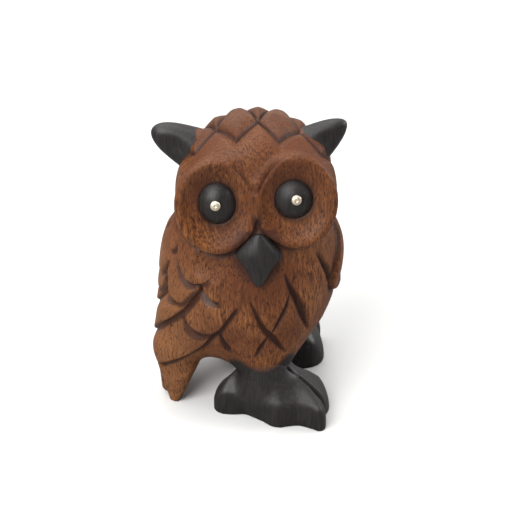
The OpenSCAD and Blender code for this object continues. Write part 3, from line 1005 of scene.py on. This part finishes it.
# Colours of the hardwood, its stain, and the painted light and shade on it, dark streaks first
BROWN = ((0.040, 0.010, 0.003), (0.235, 0.086, 0.024))
RED_BROWN = (0.092, 0.025, 0.007)
# Painted light: paler brown for the lit -X side towards the tail
LIT_SIDE_BROWN = (0.280, 0.130, 0.052)
PORE_BROWN = (0.024, 0.008, 0.004)
# Painted shade: the colour of the cuts, the hollows and the ground under feather edges
CUT_SHADE_BROWN = (0.026, 0.009, 0.006)
BLACK = ((0.008, 0.007, 0.007), (0.024, 0.020, 0.019))


def wood(name, grain, satin, shine):
    """Waxed reddish brown hardwood that takes a black stain: streaks, painted light that makes it paler
    lower down on the -X side towards the tail, where the lamps from the left fall, dark pores, painted
    shade in its cuts and under its edges, and the stain laid over them by the mesh's own amount with a
    ragged edge."""
    mat, nodes, links, shader = new_material(name)
    g = nodes.new("ShaderNodeGroup")
    g.node_tree = grain
    base = ramp_between(nodes, links, g.outputs["Streaks"], *BROWN, 0.31, 0.67)
    figure = scaled(nodes, links, g.outputs["Figure"], 0.1, 0.85, 0.36, 0.62)
    red = mixed(nodes, links, figure, base, RED_BROWN)
    coord = nodes.new("ShaderNodeTexCoord")
    place = nodes.new("ShaderNodeSeparateXYZ")
    links.new(coord.outputs["Object"], place.inputs[0])
    # Painted light: paler wood on the -X side, lower down and towards the tail, where the lamps from the left
    # fall.
    outer = scaled(nodes, links, place.outputs["X"], 0.0, 0.36, -0.006, -0.030)
    below = nodes.new("ShaderNodeMath")
    below.operation = "MULTIPLY"
    links.new(outer, below.inputs[0])
    links.new(scaled(nodes, links, place.outputs["Z"], 1.0, 0.0, 0.048, 0.066), below.inputs[1])
    pale = mixed(nodes, links, below.outputs[0], red, LIT_SIDE_BROWN)
    pored = mixed(nodes, links, g.outputs["Pores"], pale, PORE_BROWN)
    # Painted shade: the mesh's cut amount darkens the wood in its cuts and under its edges.
    cut = nodes.new("ShaderNodeAttribute")
    cut.attribute_name = "cut"
    carved = mixed(nodes, links, scaled(nodes, links, cut.outputs["Fac"], 0, 0.88), pored, CUT_SHADE_BROWN)
    black = ramp_between(nodes, links, g.outputs["Streaks"], *BLACK, 0.3, 0.75)
    stain = nodes.new("ShaderNodeAttribute")
    stain.attribute_name = "stain"
    rag = nodes.new("ShaderNodeMath")
    rag.operation = "ADD"
    links.new(stain.outputs["Fac"], rag.inputs[0])
    links.new(scaled(nodes, links, g.outputs["Streaks"], -0.22, 0.22, 0.3, 0.7), rag.inputs[1])
    amount = scaled(nodes, links, rag.outputs[0], 0, 1, 0.16, 0.84)
    links.new(mixed(nodes, links, amount, carved, black), shader.inputs["Base Color"])
    rough = scaled(nodes, links, g.outputs["Figure"], satin, satin + 0.2, 0.3, 0.7)
    links.new(rough, shader.inputs["Roughness"])
    bump = nodes.new("ShaderNodeBump")
    bump.inputs["Strength"].default_value = 0.3
    bump.inputs["Distance"].default_value = 0.00025
    links.new(g.outputs["Streaks"], bump.inputs["Height"])
    links.new(bump.outputs["Normal"], shader.inputs["Normal"])
    shader.inputs["Specular IOR Level"].default_value = shine
    return mat


PALE_BROWN = ((0.36, 0.22, 0.11), (0.60, 0.42, 0.24))
PALE_PORE = (0.24, 0.13, 0.06)
BRIGHT_BRASS = ((0.90, 0.74, 0.52), (0.98, 0.90, 0.76))


def pale_wood(grain):
    """Pale dowel wood: fine straight grain and a few darker pores."""
    mat, nodes, links, shader = new_material("pale_dowel_wood")
    g = nodes.new("ShaderNodeGroup")
    g.node_tree = grain
    base = ramp_between(nodes, links, g.outputs["Streaks"], *PALE_BROWN, 0.33, 0.66)
    pored = mixed(nodes, links, g.outputs["Pores"], base, PALE_PORE)
    links.new(pored, shader.inputs["Base Color"])
    links.new(scaled(nodes, links, g.outputs["Figure"], 0.5, 0.7, 0.3, 0.7), shader.inputs["Roughness"])
    return mat


def brass():
    """Bright brass, a little rubbed: colour and roughness wander with fine noise."""
    mat, nodes, links, shader = new_material("bright_brass")
    coord = nodes.new("ShaderNodeTexCoord")
    noise = nodes.new("ShaderNodeTexNoise")
    noise.inputs["Scale"].default_value = 1800
    links.new(coord.outputs["Object"], noise.inputs["Vector"])
    colour = ramp_between(nodes, links, noise.outputs["Fac"], *BRIGHT_BRASS)
    links.new(colour, shader.inputs["Base Color"])
    shader.inputs["Metallic"].default_value = 1
    links.new(scaled(nodes, links, noise.outputs["Fac"], 0.38, 0.58), shader.inputs["Roughness"])
    return mat


# ------------------------------------------------------------------ build

grain = grain_group()
WOOD = wood("waxed_brown_hardwood", grain, 0.42, 0.22)
STAIN = wood("black_stained_wood", grain, 0.36, 0.34)
PALE = pale_wood(grain)
BRASS = brass()

carved_block(WOOD)
FEET = (
    ("right", RIGHT_ANKLE, RIGHT_FOOT_TURN, 1, 1.0),
    ("left", LEFT_ANKLE + LEFT_FOOT_SHIFT, LEFT_FOOT_TURN, -1, LEFT_FOOT_TALL),
)
for word, ankle, turn, side, tall in FEET:
    piece = foot(word + "_foot_carving", word + "_foot", ankle, turn, side, tall, STAIN)
EARS = zip((-1, 1), ("right", "left"), EAR_SEATS, EAR_RISE, EAR_LENGTH, EAR_TAPER)
for side, word, seat, rise, length, taper in EARS:
    tuft = ear_tuft(word + "_ear_carving", word + "_ear_tuft", seat, rise, length, taper, side, STAIN)
for word, seat, half, pin in zip(("right", "left"), EYE_SEATS, EYE_HALF, PIN_SEATS):
    eye(word + "_eye_dome", word + "_eye", seat, half, STAIN)
    eye_pin(word + "_nail_head", word + "_eye_pin", pin, BRASS)
beak(STAIN)
for node in ("right_leg_dowel", "left_leg_dowel"):
    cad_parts[node].data.materials.clear()
    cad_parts[node].data.materials.append(PALE)


# ------------------------------------------------------------------ stage, camera and light


def plane(name, size, z, material):
    """Square in the floor's plane."""
    mesh = bpy.data.meshes.new(name)
    h = size / 2
    mesh.from_pydata([(-h, -h, z), (h, -h, z), (h, h, z), (-h, h, z)], [], [(0, 1, 2, 3)])
    mesh.materials.append(material)
    obj = bpy.data.objects.new(name, mesh)
    bpy.context.scene.collection.objects.link(obj)
    return obj


floor_mat, floor_nodes, floor_links, floor_shader = new_material("white_floor")
floor_path = floor_nodes.new("ShaderNodeLightPath")
FLOOR_TONE = (0.68, 0.68, 0.67)
MIRRORED_TONE = (0.2, 0.2, 0.2)
floor_tone = mixed(floor_nodes, floor_links, floor_path.outputs["Is Glossy Ray"], FLOOR_TONE, MIRRORED_TONE)
floor_links.new(floor_tone, floor_shader.inputs["Base Color"])
floor_shader.inputs["Roughness"].default_value = 0.9
plane("floor", 6.0, 0.0, floor_mat)

AIM = (STAND + [0, 0, 52]) * MM
ELEVATION = math.radians(28)
DISTANCE = 0.465
camera = bpy.data.cameras.new("camera")
camera.lens = 100
camera.sensor_width = 36
camera_obj = bpy.data.objects.new("camera", camera)
back = Vector((0, -math.cos(ELEVATION), math.sin(ELEVATION)))
camera_obj.location = Vector(AIM) + back * DISTANCE
camera_obj.rotation_euler = (-back).to_track_quat("-Z", "Y").to_euler()
camera.clip_start = 0.01
bpy.context.scene.collection.objects.link(camera_obj)
bpy.context.scene.camera = camera_obj


def softbox(name, place, size, power):
    """Square area light that looks at the owl."""
    light = bpy.data.lights.new(name, "AREA")
    light.size = size
    light.energy = power
    obj = bpy.data.objects.new(name, light)
    obj.location = place
    way = Vector((0, 0, 0.05)) - Vector(place)
    obj.rotation_euler = way.to_track_quat("-Z", "Y").to_euler()
    bpy.context.scene.collection.objects.link(obj)


# Name, place, size and power of each light
SOFTBOXES = (
    ("top_softbox", (-0.20, 0.15, 0.90), 1.0, 9.5),
    ("front_softbox", (-0.45, -0.60, 0.70), 0.7, 12.5),
    ("side_softbox", (0.75, 0.10, 0.45), 0.5, 5.5),
)
for light in SOFTBOXES:
    softbox(*light)

world = bpy.data.worlds.new("studio")
world.use_nodes = True
sky, sky_links = world.node_tree.nodes, world.node_tree.links
direction = sky.new("ShaderNodeTexCoord")
toward = sky.new("ShaderNodeVectorMath")
toward.operation = "DOT_PRODUCT"
toward.inputs[1].default_value = (-0.2, 0.8, 0.4)
sky_links.new(direction.outputs["Generated"], toward.inputs[0])
seen = sky.new("ShaderNodeLightPath")


def chosen(flag, otherwise, wanted):
    """One value when a kind of ray asks, another value for the rest."""
    mix = sky.new("ShaderNodeMix")
    sky_links.new(flag, mix.inputs[0])
    for socket, value in ((mix.inputs[2], otherwise), (mix.inputs[3], wanted)):
        if isinstance(value, float):
            socket.default_value = value
        else:
            sky_links.new(value, socket)
    return mix.outputs[0]


FILL = 0.22
backdrop = scaled(sky, sky_links, toward.outputs["Value"], 0.10, 1.0, -0.2, 0.8)
lighting = chosen(seen.outputs["Is Glossy Ray"], FILL, backdrop)
strength = chosen(seen.outputs["Is Camera Ray"], lighting, 1.0)
sky_links.new(strength, sky["Background"].inputs["Strength"])
sky["Background"].inputs["Color"].default_value = (1, 1, 1, 1)
bpy.context.scene.world = world
bpy.context.scene.view_settings.view_transform = "Standard"
